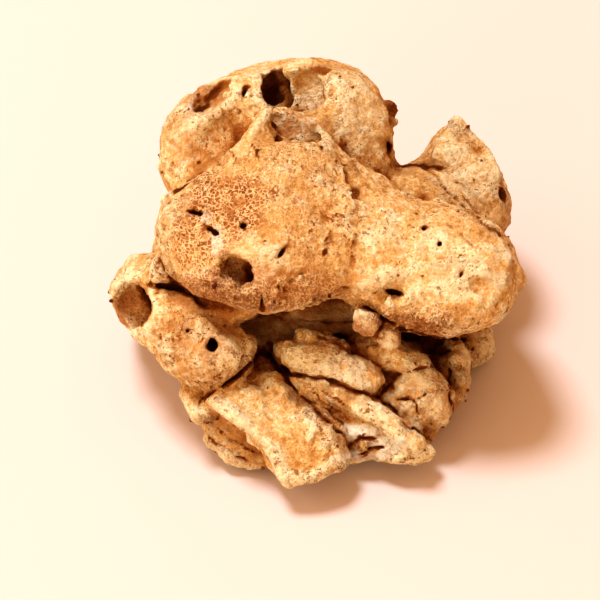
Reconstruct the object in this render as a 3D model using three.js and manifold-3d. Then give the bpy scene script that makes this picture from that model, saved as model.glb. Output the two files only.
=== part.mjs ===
// White truffle: one solid, knobbly fruit body of fused lobes, pressed folds and eaten hollows.
// Millimetres, +Z up. The origin lies on the resting surface, under the middle of the truffle's box.
//
// Lobes and hollows are laid out as seen from the front and above: x to the right, y up the view and
// z towards the viewer. The whole lump is then tipped back to stand on the flat spot it rests on.

import * as THREE from "three";
import { ImprovedNoise } from "three/addons/math/ImprovedNoise.js";
import { mergeVertices } from "three/addons/utils/BufferGeometryUtils.js";
import Module from "manifold-3d";

// Driving dimensions

const VIEW_TILT = 42; // degrees above the horizon that the layout is seen from
const REST_LEVEL = -17; // height of the resting surface in the tipped layout
const SETTLE_FROM = -11; // height in the tipped layout below which the underside is pressed flat
const SETTLE_SOFT = 6.5; // the most that the underside hangs below that height
const GROUND_SPAN = 200; // side of the block that cuts the resting face
const FACET = 3.2; // length of a facet's side on a lobe
const FEWEST_CUTS = 2; // cuts of an icosahedron's edge on the smallest lobe or hollow
const FULLNESS = 0.75; // 1 makes a lobe a plain ball, less a squarer cushion
const SWELL = { size: 15, height: 1.3 }; // broad, uneven swelling of every lobe
const KNOBS = { size: 5.5, height: 0.6 }; // knobs that ride on the swelling
const UNLIKE = { y: 7.3, z: 3.1 }; // offsets that make the swelling differ from axis to axis

// A lobe is a ball. Its rim, seen from the front, reaches out by the given lengths at even angles,
// anticlockwise from the right. front and back say how far it bulges to the viewer and away, roll
// turns the rim, and lean slants the lobe: how much nearer it comes per millimetre right and up.

const LOBES = {
  heart: {
    at: [2, 2, -13],
    reach: [27, 22.5, 24, 23.5, 23.5, 23.5, 24, 27],
    front: 13,
    back: 16.4,
  },
  visor: {
    at: [7, 9, 5],
    reach: [28.6, 15.4, 12, 15.6, 22, 23, 28, 20, 12, 8.6, 13.6, 25],
    front: 13.6,
    back: 18,
    lean: [0, -0.3],
  },
  brow: {
    at: [-6.8, 13.7, 9.6],
    reach: [17, 16.2, 18, 17.4, 12.4, 13.8, 16.4, 16.9, 16.4, 15.6, 17, 17.5],
    front: 9.6,
    back: 24,
    lean: [0, -0.32],
  },
  shoulder: {
    at: [22.7, 6.2, 9.6],
    reach: [13.8, 9.2, 7.6, 7.6, 13.8, 17.5, 16.6, 14.3, 12.2, 12, 13, 14.3],
    front: 9,
    back: 24,
    lean: [0.02, -0.28],
  },
  crown: {
    at: [-4.2, 27, -11],
    reach: [20.2, 20, 17.2, 13.7, 14, 16.4, 19.6, 21, 18, 16, 18, 20],
    front: 14,
    back: 11,
    lean: [0, -0.15],
  },
  saddle: {
    at: [18.6, 14, -9],
    reach: [12, 10, 9.6, 9.6, 11, 11, 11, 12],
    front: 10,
    back: 16,
    lean: [0, -0.3],
  },
  ear: {
    at: [26.2, 17.2, -14.5],
    reach: [10, 10, 10.8, 14.4, 9, 8.9, 10.7, 11, 11, 10, 10, 10.6],
    front: 9,
    back: 10,
    lean: [0, -0.2],
  },
  cheek: {
    at: [-19.8, -4.1, 4],
    reach: [13.3, 12.5, 11.6, 10.8, 13.3, 13.6, 10, 7.3, 6.6, 9.1, 12.4, 13.3],
    front: 9,
    back: 26,
    lean: [0.2, -0.2],
  },
  jaw: {
    at: [9, -14, 0],
    reach: [16.5, 12, 9, 8, 9, 12, 16, 17, 14, 12, 13, 16.5],
    front: 8,
    back: 20,
    lean: [0, -0.4],
  },
  chin: {
    at: [-2.1, -19.3, 7],
    reach: [9.5, 6, 5, 7.6, 11.2, 9.2, 7.8, 7, 6.2, 10.8, 10.8, 11],
    front: 7,
    back: 22,
    lean: [0, -0.5],
  },
  chinTip: {
    at: [-9.8, -16.9, 7.6],
    reach: [9, 5.4, 4.4, 4.4, 6.2, 3.8, 3.6, 5],
    roll: -15,
    front: 5.6,
    back: 14,
    lean: [0, -0.5],
  },
  upperFold: {
    at: [4.6, -10.2, 7],
    reach: [10.2, 5.4, 4.4, 5.4, 10.2, 5.4, 4.4, 5.4],
    roll: -22,
    front: 5.5,
    back: 14,
    lean: [0, -0.4],
  },
  lowerFold: {
    at: [10.6, -19.4, 6],
    reach: [12.6, 5.6, 4.4, 5.6, 12.6, 5.6, 4.4, 5.6],
    roll: -28,
    front: 5,
    back: 16,
    lean: [0, -0.4],
  },
  block: {
    at: [-22.2, 5.3, 12],
    reach: [2.8, 2.6, 3, 2.6, 2.3, 2.6, 2.8, 2.8],
    front: 3,
    back: 10,
  },
  crumb: { at: [12.2, -3.6, 13], reach: [2.2, 2, 2.2, 2, 2.2, 2.2, 2, 2.2], front: 2, back: 5 },
  crumbLow: { at: [14.8, -6.2, 12], reach: [2, 1.8, 1.8, 2, 2, 1.8, 1.8, 1.8], front: 2, back: 5 },
  knuckle: {
    at: [19.7, -16.7, 6],
    reach: [5.6, 5.6, 5, 5.6, 5.8, 5.6, 5.4, 5.6],
    front: 5,
    back: 14,
  },
  ridge: {
    at: [15.2, -9.4, 5],
    reach: [7.4, 3.6, 3, 3.6, 7.4, 3.6, 3, 3.6],
    roll: -26,
    front: 5,
    back: 12,
    lean: [0, -0.4],
  },
  sideRim: {
    at: [25.2, -12.4, 1],
    reach: [2.6, 3.6, 6.6, 3.6, 2.6, 3.6, 6.6, 3.6],
    front: 4,
    back: 12,
  },
  footRim: {
    at: [15, -24, 2],
    reach: [8, 3.6, 2.8, 3.6, 8, 3.6, 2.8, 3.6],
    roll: 8,
    front: 6,
    back: 14,
  },
  heel: { at: [28.4, -8, -14], reach: [5, 5.2, 5.4, 5, 5, 5, 5.2, 5], front: 8, back: 10 },
  under: { at: [-9.2, -21, 3], reach: [9, 8, 8, 9, 8.6, 7.8, 9.8, 11], front: 5.5, back: 15 },
  sole: { at: [2, -9.6, -19], reach: [12, 11, 12, 12, 12, 11, 12, 12], front: 8, back: 10 },
  nape: {
    at: [-9, 13, -22],
    reach: [13, 12, 10, 11, 12, 11, 9, 12],
    front: 8,
    back: 7,
    lean: [0.1, 0.1],
  },
  haunch: {
    at: [13, 7, -23],
    reach: [12, 11, 9, 9, 12, 12, 10, 12],
    front: 8,
    back: 7,
    lean: [-0.1, 0.1],
  },
  hump: {
    at: [2, 22, -20],
    reach: [13, 10, 10, 11, 13, 11, 9, 11],
    front: 8,
    back: 7,
    lean: [0, 0.2],
  },
  spur: { at: [-19.2, 6.5, -12], reach: [7, 7, 7, 7, 6.2, 7, 8, 7], front: 9, back: 11 },
  flank: { at: [-15, -5, -20], reach: [10, 8, 9, 11, 10, 9, 8, 10], front: 8, back: 8 },
  rump: { at: [17, -8, -19], reach: [11, 10, 8, 9, 11, 10, 9, 10], front: 8, back: 8 },
  wattle: {
    at: [23.6, 3, -17],
    reach: [8, 8, 7, 8, 9, 8, 8, 8.6],
    front: 8,
    back: 9,
    lean: [-0.2, 0],
  },
  tuck: { at: [3, 5, -27], reach: [4, 5.4, 8.4, 5, 4, 5.4, 9, 5.4], roll: 20, front: 8, back: 5 },
};

// A hollow is cut out as a lobe is joined on. On the near side its front clears the skin and its back is
// the floor, and on the far side the other way round. drift carries the floor aside, per millimetre of
// depth, so that one wall is undercut.

const HOLLOWS = {
  crownHole: {
    at: [-4, 34.8, 0],
    reach: [2.4, 3, 3.4, 3, 2.2, 3, 3.4, 3],
    front: 4,
    back: 11,
    drift: [-0.4, 0],
  },
  crownBasin: {
    at: [1, 34.6, 0.5],
    reach: [3.8, 4, 4.2, 4, 3.6, 3.6, 3.8, 4],
    front: 4,
    back: 3.5,
  },
  browHollow: {
    at: [-1.3, 28.4, 8.7],
    reach: [4, 3.4, 2.8, 3, 3.6, 3, 2.6, 3.2],
    front: 4,
    back: 3.5,
    lean: [0, -0.6],
  },
  crownPit: {
    at: [-15.3, 33.8, -1.6],
    reach: [3.4, 2.6, 2.2, 2.6, 3.4, 2.6, 2.2, 2.6],
    roll: 25,
    front: 3,
    back: 2.5,
  },
  browHole: {
    at: [-10.2, 4.8, 22],
    reach: [2.8, 2.4, 2.2, 2.4, 2.8, 2.4, 2.2, 2.4],
    roll: -30,
    front: 4,
    back: 5.5,
    drift: [0.35, 0.1],
  },
  cheekHole: {
    at: [-27.6, -1, 9.8],
    reach: [3.3, 3.4, 3.8, 3.8, 3.4, 3.6, 4, 3.6],
    front: 6,
    back: 6,
    drift: [0.3, 0],
  },
  cheekPore: { at: [-14.4, -7.4, 14.4], reach: [1.2, 1.2, 1.2, 1.2], front: 3, back: 5 },
  lipSlot: { at: [15, 1.2, 18], reach: [2, 1, 0.8, 1, 2, 1, 0.8, 1], front: 3, back: 3.5 },
  napeHole: {
    at: [-11, 17, -29],
    reach: [2.6, 2.2, 2, 2.4, 2.8, 2.4, 2, 2.2],
    front: 5,
    back: 5,
    drift: [0.3, 0],
  },
  haunchPit: {
    at: [17, 10, -30],
    reach: [3.4, 2.4, 2, 2.4, 3.4, 2.4, 2, 2.4],
    roll: 35,
    front: 3.4,
    back: 5,
  },
  humpPore: {
    at: [7, 27, -26],
    reach: [1.4, 1.2, 1.2, 1.3, 1.4, 1.3, 1.2, 1.2],
    front: 5,
    back: 5,
  },
  crownPore: {
    at: [14.9, 26, -4],
    reach: [0.8, 1.1, 1.5, 1.1, 0.8, 1.1, 1.5, 1.1],
    front: 3,
    back: 3,
  },
};

// Shared maths

const noise = new ImprovedNoise();
const wasm = await Module();
wasm.setup();

const tipping = new THREE.Matrix4().makeRotationX(THREE.MathUtils.degToRad(90 - VIEW_TILT));

// The reach at any angle, on a smooth closed curve through the given lengths.
function reachToward(reach, angle) {
  const count = reach.length;
  const place = ((angle / (2 * Math.PI)) * count + count) % count;
  const first = Math.floor(place);
  const t = place - first;
  const [a, b, c, d] = [-1, 0, 1, 2].map((k) => reach[(first + k + count) % count]);
  return b + 0.5 * t * (c - a + t * (2 * a - 5 * b + 4 * c - d + t * (3 * (b - c) + d - a)));
}

// Pushes a point about by noise, so that no lobe is a plain ball.
function wander(point, { size, height }) {
  const { x, y, z } = point.clone().divideScalar(size);
  const push = new THREE.Vector3(
    noise.noise(x, y, z),
    noise.noise(y, z, x + UNLIKE.y),
    noise.noise(z, x + UNLIKE.z, y),
  );
  return point.addScaledVector(push, height);
}

// A closed geometry whose faces share their corners.
function sharedCorners(geometry) {
  geometry.deleteAttribute("normal");
  geometry.deleteAttribute("uv");
  return mergeVertices(geometry);
}

// The height of a point once the truffle has settled: its underside is pressed flatter and flatter.
function settled(height) {
  const below = Math.max(SETTLE_FROM - height, 0);
  return height + below - SETTLE_SOFT * (1 - Math.exp(-below / SETTLE_SOFT));
}

// A lobe's closed geometry, tipped into the standing frame and settled.
function lobeGeometry({ at, reach, roll = 0, lean = [0, 0], drift = [0, 0], front, back }) {
  const mean = reach.reduce((sum, length) => sum + length, 0) / reach.length;
  const ball = new THREE.IcosahedronGeometry(1, Math.max(FEWEST_CUTS, Math.round(mean / FACET)));
  const geometry = sharedCorners(ball);
  const points = geometry.getAttribute("position");
  const centre = new THREE.Vector3(...at);
  const turn = THREE.MathUtils.degToRad(roll);
  const point = new THREE.Vector3();
  for (let i = 0; i < points.count; i++) {
    point.fromBufferAttribute(points, i);
    const rim = Math.hypot(point.x, point.y);
    const angle = Math.atan2(point.y, point.x);
    const out = reachToward(reach, angle) * rim ** FULLNESS;
    const depth = Math.abs(point.z) ** FULLNESS * (point.z > 0 ? front : -back);
    point.set(out * Math.cos(angle + turn), out * Math.sin(angle + turn), depth);
    point.z += lean[0] * point.x + lean[1] * point.y;
    point.x -= drift[0] * depth;
    point.y -= drift[1] * depth;
    point.add(centre);
    wander(wander(point, SWELL), KNOBS);
    points.setXYZ(i, point.x, point.y, point.z);
  }
  geometry.applyMatrix4(tipping);
  for (let i = 0; i < points.count; i++) {
    points.setZ(i, settled(points.getZ(i)));
  }
  return geometry;
}

// Solids for joining and cutting

function solidOf(geometry) {
  const vertProperties = new Float32Array(geometry.getAttribute("position").array);
  const triVerts = new Uint32Array(geometry.index.array);
  return new wasm.Manifold(new wasm.Mesh({ numProp: 3, vertProperties, triVerts }));
}

function geometryOf(solid) {
  const { vertProperties, triVerts } = solid.getMesh();
  const geometry = new THREE.BufferGeometry();
  geometry.setAttribute("position", new THREE.BufferAttribute(vertProperties, 3));
  geometry.setIndex(new THREE.BufferAttribute(triVerts, 1));
  geometry.computeVertexNormals();
  return geometry;
}

// The truffle

const lump = Object.values(LOBES)
  .map((lobe) => solidOf(lobeGeometry(lobe)))
  .reduce((whole, lobe) => whole.add(lobe));

const eaten = Object.values(HOLLOWS)
  .map((hollow) => solidOf(lobeGeometry(hollow)))
  .reduce((whole, hollow) => whole.subtract(hollow), lump);

const ground = new THREE.BoxGeometry(GROUND_SPAN, GROUND_SPAN, GROUND_SPAN);
ground.translate(0, 0, REST_LEVEL - GROUND_SPAN / 2);
const standing = eaten.subtract(solidOf(sharedCorners(ground)));

const fleshSkin = new THREE.MeshStandardMaterial({ color: 0xd9a866, roughness: 0.85, metalness: 0 });
const truffle = new THREE.Mesh(geometryOf(standing), fleshSkin);
truffle.name = "truffle";
truffle.geometry.computeBoundingBox();
const box = truffle.geometry.boundingBox;
truffle.position.set(-(box.min.x + box.max.x) / 2, -(box.min.y + box.max.y) / 2, -REST_LEVEL);

const whiteTruffle = new THREE.Group();
whiteTruffle.add(truffle);

export default whiteTruffle;
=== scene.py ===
import itertools
import math

import bpy
import numpy as np
import openvdb as vdb
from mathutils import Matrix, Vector
from mathutils.bvhtree import BVHTree


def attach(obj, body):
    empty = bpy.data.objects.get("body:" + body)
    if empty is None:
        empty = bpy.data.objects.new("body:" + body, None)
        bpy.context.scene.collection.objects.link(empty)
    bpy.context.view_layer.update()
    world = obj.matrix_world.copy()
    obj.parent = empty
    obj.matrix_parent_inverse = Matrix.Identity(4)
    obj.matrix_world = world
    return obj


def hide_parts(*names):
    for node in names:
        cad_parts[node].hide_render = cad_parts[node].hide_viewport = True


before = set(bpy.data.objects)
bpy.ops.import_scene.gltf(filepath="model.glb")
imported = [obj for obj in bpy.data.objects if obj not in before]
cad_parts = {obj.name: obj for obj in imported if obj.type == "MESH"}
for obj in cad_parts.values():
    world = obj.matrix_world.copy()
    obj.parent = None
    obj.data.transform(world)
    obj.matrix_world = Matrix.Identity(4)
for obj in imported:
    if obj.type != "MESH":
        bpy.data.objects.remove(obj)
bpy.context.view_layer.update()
mm = 0.001  # the sculpting below is in millimetres, Blender's scene in metres

# camera, set first because places on the skin are given as pixels of the 600 x 600 picture;
# slide is how many pixels a place just off the outline may be moved in
cameraSetup = dict(lookAt=(-2.518, -5.52, 17.0), distance=419.0, elevation=42.0,
                   lens=150.0, sensor=36.0, pixels=600, slide=40)

tilt = math.radians(cameraSetup["elevation"])
viewRight = np.array((1.0, 0.0, 0.0))
viewUp = np.array((0.0, math.sin(tilt), math.cos(tilt)))
viewBack = np.array((0.0, -math.cos(tilt), math.sin(tilt)))  # from the truffle to the eye
lookAt = np.array(cameraSetup["lookAt"])
eye = lookAt + cameraSetup["distance"] * viewBack
pixelSize = cameraSetup["sensor"] / cameraSetup["lens"] * cameraSetup["distance"] / cameraSetup["pixels"]


def rayThrough(pixel):
    middle = cameraSetup["pixels"] / 2
    across, up = (pixel[0] - middle) * pixelSize, (middle - pixel[1]) * pixelSize
    ray = across * viewRight + up * viewUp - cameraSetup["distance"] * viewBack
    return ray / np.linalg.norm(ray)


def makeCamera():
    data = bpy.data.cameras.new("camera")
    data.lens = cameraSetup["lens"]
    data.sensor_width = cameraSetup["sensor"]
    camera = bpy.data.objects.new("camera", data)
    bpy.context.scene.collection.objects.link(camera)
    camera.location = Vector(eye) * mm
    camera.rotation_euler = (math.pi / 2 - tilt, 0, 0)
    bpy.context.scene.camera = camera


makeCamera()
print("camera set")

# random but repeatable fields

hashSetup = dict(axes=(73856093, 19349663, 83492791), seed=2654435761,
                 rounds=((15, 2246822519), (13, 3266489917), (16, 668265263)))
swirlSetup = dict(gain=1.6, axisSeed=11, layerSeed=31)
cellSetup = dict(farAway=9, ownerSeed=5)
corners = np.array(list(itertools.product((0, 1), repeat=3)))


def hashed(cells, seed):  # a number from 0 to 1 for each cell
    mixed = np.uint32(seed * hashSetup["seed"] % 2**32)
    for axis, factor in enumerate(hashSetup["axes"]):
        mixed = mixed ^ (cells[..., axis].astype(np.int64).astype(np.uint32) * np.uint32(factor))
    for shift, factor in hashSetup["rounds"]:
        mixed = (mixed ^ (mixed >> np.uint32(shift))) * np.uint32(factor)
    return (mixed >> np.uint32(8)).astype(np.float32) / np.float32(2**24)


def swirl(points, size, seed):  # smooth noise from about -1 to 1, with bumps of the given size
    scaled = np.asarray(points, np.float32) / size
    base = np.floor(scaled)
    part = scaled - base
    ease = part * part * part * (part * (part * 6 - 15) + 10)
    total = np.zeros(scaled.shape[:-1], np.float32)
    for corner in corners:
        cell = base + corner
        slope = sum((hashed(cell, seed + swirlSetup["axisSeed"] * axis) * 2 - 1)
                    * (part[..., axis] - corner[axis]) for axis in range(3))
        share = np.prod(np.where(corner, ease, 1 - ease), axis=-1)
        total += share * slope
    return total * swirlSetup["gain"]


def layered(points, size, seed, layers=3, fade=0.5):
    return sum(fade**k * swirl(points, size / 2**k, seed + swirlSetup["layerSeed"] * k)
               for k in range(layers))


def wavered(points, amount, size, seed):  # points pushed about by noise
    return points + amount * np.stack([swirl(points, size, seed + axis) for axis in range(3)], -1)


# random cells: how far each point is from its cell's wall and middle, and the cell's own number from 0 to 1
def cellEdges(points, size, seed):
    scaled = np.asarray(points, np.float32) / size
    base = np.floor(scaled)
    first = np.full(len(scaled), cellSetup["farAway"], np.float32)
    second = first.copy()
    owner = np.zeros(len(scaled), np.float32)
    for shift in itertools.product((-1, 0, 1), repeat=3):
        cell = base + shift
        middle = cell + np.stack([hashed(cell, seed + axis) for axis in range(3)], -1)
        gap = np.linalg.norm(scaled - middle, axis=1)
        nearer = gap < first
        second = np.where(nearer, first, np.minimum(second, gap))
        owner = np.where(nearer, hashed(cell, seed + cellSetup["ownerSeed"]), owner)
        first = np.where(nearer, gap, first)
    return (second - first) * size, first * size, owner


def smoothStep(low, high, value):
    share = np.clip((value - low) / (high - low), 0, 1)
    return share * share * (3 - 2 * share)


# the lump as a field of distances to its skin, negative inside

lumpSetup = dict(step=0.36, band=13, margin=6, blurReach=2.5, facetBlur=0.8, fuseBlur=1.2, fuseLift=0.12,
                 foldBlur=0.45, foldAt=(6.0, -26.0, 10.0), foldReach=19.0, foldFade=(1.15, 0.85))


class Lump:
    def __init__(self, cadObject):
        step, margin = lumpSetup["step"], lumpSetup["margin"]
        mesh = cadObject.data
        mesh.calc_loop_triangles()
        points = np.array([v.co for v in mesh.vertices], np.float32) / mm
        faces = np.array([t.vertices for t in mesh.loop_triangles], np.uint32)
        scale = vdb.createLinearTransform(voxelSize=step)
        grid = vdb.FloatGrid.createLevelSetFromPolygons(points, triangles=faces, transform=scale,
                                                        halfWidth=lumpSetup["band"])
        self.low = np.floor(points.min(0) / step).astype(int) - margin
        high = np.ceil(points.max(0) / step).astype(int) + margin
        self.field = np.full(high - self.low + 1, lumpSetup["band"] * step, np.float32)
        grid.copyToArray(self.field, ijk=tuple(int(n) for n in self.low))
        self.floor = float(points[:, 2].min())

    def blurred(self, width):
        sigma = width / lumpSetup["step"]
        reach = int(math.ceil(lumpSetup["blurReach"] * sigma))
        weights = np.exp(-0.5 * (np.arange(-reach, reach + 1) / sigma) ** 2)
        weights /= weights.sum()
        field = self.field
        for axis in range(3):
            edges = [(reach, reach) if a == axis else (0, 0) for a in range(3)]
            padded = np.pad(field, edges, mode="edge")
            block = [slice(None)] * 3
            total = 0
            for k, weight in enumerate(weights.astype(np.float32)):
                block[axis] = slice(k, k + field.shape[axis])
                total = total + weight * padded[tuple(block)]
            field = total
        return field

    def places(self, cells):
        return (np.asarray(cells, np.float32) + self.low) * lumpSetup["step"]

    def nearness(self, centre, reach):  # 1 well inside the reach, 0 outside it
        spots = np.stack(np.meshgrid(*[np.arange(n) for n in self.field.shape], indexing="ij"), -1)
        gap = np.linalg.norm(self.places(spots) - np.array(centre, np.float32), axis=-1)
        return smoothStep(*lumpSetup["foldFade"], gap / reach).astype(np.float32)

    def window(self, centre, reach):
        middle = np.asarray(centre) / lumpSetup["step"] - self.low
        cells = reach / lumpSetup["step"]
        start = np.maximum(np.floor(middle - cells).astype(int), 0)
        stop = np.minimum(np.ceil(middle + cells).astype(int) + 1, self.field.shape)
        block = tuple(slice(a, b) for a, b in zip(start, stop))
        spots = np.meshgrid(*[np.arange(a, b) for a, b in zip(start, stop)], indexing="ij")
        return block, self.places(np.stack(spots, -1))

    def sample(self, field, spots):  # a field's value at each spot, blended from the eight cells round it
        scaled = spots / lumpSetup["step"] - self.low
        base = np.clip(np.floor(scaled).astype(int), 0, np.array(field.shape) - 2)
        part = scaled - base
        return sum(np.prod(np.where(corner, part, 1 - part), axis=1) * field[tuple((base + corner).T)]
                   for corner in corners)

    def skinMesh(self):
        grid = vdb.FloatGrid(lumpSetup["band"] * lumpSetup["step"])
        grid.copyFromArray(self.field, ijk=tuple(int(n) for n in self.low))
        grid.transform = vdb.createLinearTransform(voxelSize=lumpSetup["step"])
        points, quads = grid.convertToQuads()
        return points.astype(np.float64), quads[:, ::-1]


def skinTree(points, quads):
    return BVHTree.FromPolygons(points.tolist(), quads.tolist())


lump = Lump(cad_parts["truffle"])
plain = lump.blurred(lumpSetup["facetBlur"])  # facets smoothed away
fused = lump.blurred(lumpSetup["fuseBlur"]) + lumpSetup["fuseLift"]  # deep clefts between lobes filled
sharp = lump.blurred(lumpSetup["foldBlur"])  # folds at the front keep their clefts
foldShare = lump.nearness(lumpSetup["foldAt"], lumpSetup["foldReach"])
lump.field = foldShare * sharp + (1 - foldShare) * np.minimum(plain, fused)
points, quads = lump.skinMesh()
tree = skinTree(points, quads)
print("lump fused:", len(points), "points")


def onSkin(pixel):  # a pixel just off the outline slides in towards the middle
    middle = np.full(2, cameraSetup["pixels"] / 2)
    spot = np.array(pixel, float)
    for _ in range(cameraSetup["slide"]):
        place, normal, _, _ = tree.ray_cast(Vector(eye), Vector(rayThrough(spot)))
        if place is not None:
            return np.array(place), np.array(normal)
        spot += (middle - spot) / np.linalg.norm(middle - spot)
    raise ValueError(f"no skin near pixel {pixel}")


# swelling of the skin: waves from broad to fine, each with its size and height in millimetres

swellSetup = dict(reach=2.2, waves=((8.5, 0.7), (3.3, 0.46), (1.4, 0.21)), waveSeed=3,
                  furrowSeed=9, furrowFine=0.5, furrowLevel=0.45, fade=(1.1, 0.7))

# broken ground, furrowed into grains: pixel, and reach, grain size and depth in millimetres

crumbles = (
    dict(at=(345, 390), reach=15.0, size=2.1, depth=0.55),
    dict(at=(416, 400), reach=7.0, size=3.0, depth=0.8),
    dict(at=(378, 328), reach=4.6, size=1.8, depth=1.3),
    dict(at=(318, 70), reach=3.2, size=1.4, depth=0.9),
    dict(at=(294, 128), reach=4.2, size=1.3, depth=0.8),
    dict(at=(208, 96), reach=4.4, size=1.5, depth=0.9),
    dict(at=(290, 292), reach=4.2, size=1.6, depth=0.8),
    dict(at=(332, 296), reach=3.6, size=1.5, depth=0.8),
    dict(at=(222, 290), reach=4.2, size=1.6, depth=0.7),
    dict(at=(256, 302), reach=4.2, size=1.6, depth=0.7),
    dict(at=(310, 304), reach=3.6, size=1.6, depth=0.7),
    dict(at=(420, 318), reach=5.0, size=1.7, depth=0.6),
    dict(at=(500, 285), reach=6.0, size=2.4, depth=0.5),
    dict(at=(235, 445), reach=8.0, size=2.4, depth=0.6),
)


def swellSkin():
    setup = swellSetup
    near = np.argwhere(np.abs(lump.field) < setup["reach"])
    spots = lump.places(near)
    change = sum(height * swirl(spots, size, seed)
                 for seed, (size, height) in enumerate(setup["waves"], setup["waveSeed"]))
    for crumble in crumbles:
        gap = np.linalg.norm(spots - onSkin(crumble["at"])[0], axis=1) / crumble["reach"]
        within = np.nonzero(gap < setup["fade"][0])[0]
        size, inside = crumble["size"], spots[within]
        coarse = np.abs(swirl(inside, size, setup["furrowSeed"]))
        fine = np.abs(swirl(inside, size / 2, setup["furrowSeed"] + 1))
        furrows = coarse + setup["furrowFine"] * fine
        share = smoothStep(*setup["fade"], gap[within])
        change[within] += crumble["depth"] * share * (setup["furrowLevel"] - furrows)
    lump.field[tuple(near.T)] += change


swellSkin()
print("skin swelled, broken ground:", len(crumbles))

# folds raised along lines through pixels: radius, and how far the fold's middle stands out, in millimetres

ridges = dict(
    earTip=dict(line=((438, 156), (448, 142), (457, 124)), radius=0.9, out=-0.1),
    earEdge=dict(line=((457, 124), (470, 138), (484, 154), (496, 176)), radius=0.9, out=-0.2),
    browCrest=dict(line=((268, 112), (250, 136), (222, 158), (190, 178), (166, 200)), radius=1.1,
                   out=-0.2),
    chinEdge=dict(line=((212, 398), (232, 414), (258, 432), (276, 452), (284, 474)), radius=1.0,
                  out=-0.3),
    chinRim=dict(line=((290, 480), (312, 476), (340, 462), (360, 452)), radius=1.0, out=-0.3),
    footRim=dict(line=((368, 452), (392, 456), (414, 458), (430, 454)), radius=0.9, out=-0.2),
    neckFill=dict(line=((199, 391), (204, 402), (209, 412)), radius=2.0, out=-1.5),
    lipTissue=dict(line=((298, 314), (322, 318), (346, 316), (366, 311)), radius=0.9, out=-0.4),
    lipTissueLow=dict(line=((306, 324), (330, 329), (352, 327), (368, 325)), radius=0.8, out=-0.4),
    middleFold=dict(line=((300, 384), (326, 394), (352, 404), (384, 422), (412, 444)), radius=1.8,
                    out=-1.1),
)

ridgeSetup = dict(margin=2, join=1.3, wobble=0.15, wobbleSize=3.0, seed=120)

# clefts cut along lines through pixels: half width and depth in millimetres, and how dark they are, the
# painted shade inside and along them

clefts = dict(
    browSideTop=dict(line=((330, 122), (344, 146), (356, 168)), width=0.35, depth=0.9, dark=0.3),
    browSide=dict(line=((354, 165), (360, 200), (355, 240), (350, 285)), width=1.5, depth=0.6, dark=0.12),
    cheekChin=dict(line=((264, 350), (243, 370), (215, 392), (203, 400)), width=0.4, depth=3.0, dark=0.8),
    cheekTop=dict(line=((160, 262), (176, 286), (204, 304), (232, 312)), width=0.5, depth=2.4, dark=0.5),
    chinFold=dict(line=((266, 352), (284, 376), (298, 392), (322, 416), (346, 438)), width=0.44,
                  depth=2.2, dark=0.4),
    underWrinkle=dict(line=((204, 418), (230, 438), (262, 456)), width=0.3, depth=1.0, dark=0.7),
    underWrinkleLow=dict(line=((212, 438), (238, 456), (268, 470)), width=0.3, depth=1.0, dark=0.7),
    earFoot=dict(line=((442, 170), (462, 186), (484, 206)), width=0.3, depth=0.6, dark=0.3),
    foldCrease=dict(line=((270, 344), (276, 356), (292, 374), (330, 380), (354, 390), (378, 399)),
                    width=0.55, depth=2.6, dark=0.4),
    knuckleCrease=dict(line=((378, 399), (394, 410), (406, 424), (430, 441)), width=0.5, depth=2.2,
                       dark=0.4),
    knuckleTop=dict(line=((378, 398), (390, 384), (402, 372), (432, 366)), width=0.34, depth=1.8,
                    dark=0.5),
    knuckleStar=dict(line=((400, 399), (414, 400), (424, 394), (440, 390)), width=0.26, depth=1.3),
    knuckleRay=dict(line=((414, 400), (417, 410), (424, 420)), width=0.24, depth=1.0),
    knuckleSide=dict(line=((448, 352), (451, 372), (448, 392), (454, 410)), width=0.36, depth=1.6,
                     dark=0.6),
    lipEdge=dict(line=((366, 308), (384, 318), (408, 330), (436, 338), (464, 340)), width=0.5, depth=2.2),
    upperSplit=dict(line=((318, 338), (338, 346), (362, 356), (386, 372)), width=0.26, depth=1.2,
                    dark=0.5),
    foldLineA=dict(line=((304, 396), (322, 408), (340, 424)), width=0.22, depth=0.9),
    foldLineB=dict(line=((312, 393), (332, 406), (348, 419)), width=0.22, depth=0.8),
    tissueSlit=dict(line=((300, 319), (326, 323), (350, 322), (368, 318)), width=0.3, depth=1.4,
                    dark=0.3),
    rimSlot=dict(line=((350, 443), (362, 437), (376, 438)), width=0.4, depth=1.6),
    rimSlotLow=dict(line=((360, 453), (374, 447), (386, 446)), width=0.34, depth=1.2),
    crumbGap=dict(line=((386, 319), (381, 327), (373, 336)), width=0.55, depth=1.8, dark=0.5),
    ringScar=dict(line=((437, 265), (440, 258), (447, 257), (453, 262), (452, 270), (446, 274),
                        (439, 271), (437, 265)), width=0.24, depth=0.35, dark=0.3),
    saddleCrease=dict(line=((396, 168), (410, 166), (424, 166), (442, 170)), width=0.36, depth=1.2),
    earRoot=dict(line=((424, 166), (452, 196), (486, 226), (506, 238)), width=0.4, depth=0.8, dark=0.4),
)

cleftDefaults = dict(dark=1.0)
clefts = {name: cleftDefaults | cleft for name, cleft in clefts.items()}
cleftSetup = dict(waver=(0.4, 1.8, 140), wear=(0.8, 0.9), wearSize=2.8, wearSeed=160, flare=1.25, above=1.5,
                  outside=3.0, skinBand=(1, 1.2), paintMargin=2, wallShade=(0.45, 0.1),
                  depthShade=(0.05, 0.5), soilShade=(2.0, 0.2))


def lineOnSkin(line, spacing=1.6):
    spots = []
    for start, end in zip(line, line[1:]):
        count = max(1, round(math.dist(start, end) / spacing))
        for k in range(count):
            spots.append(tuple(np.array(start) + (np.array(end) - start) * k / count))
    found = [onSkin(spot) for spot in spots + [line[-1]]]
    return np.array([place for place, _ in found]), np.array([normal for _, normal in found])


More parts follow.
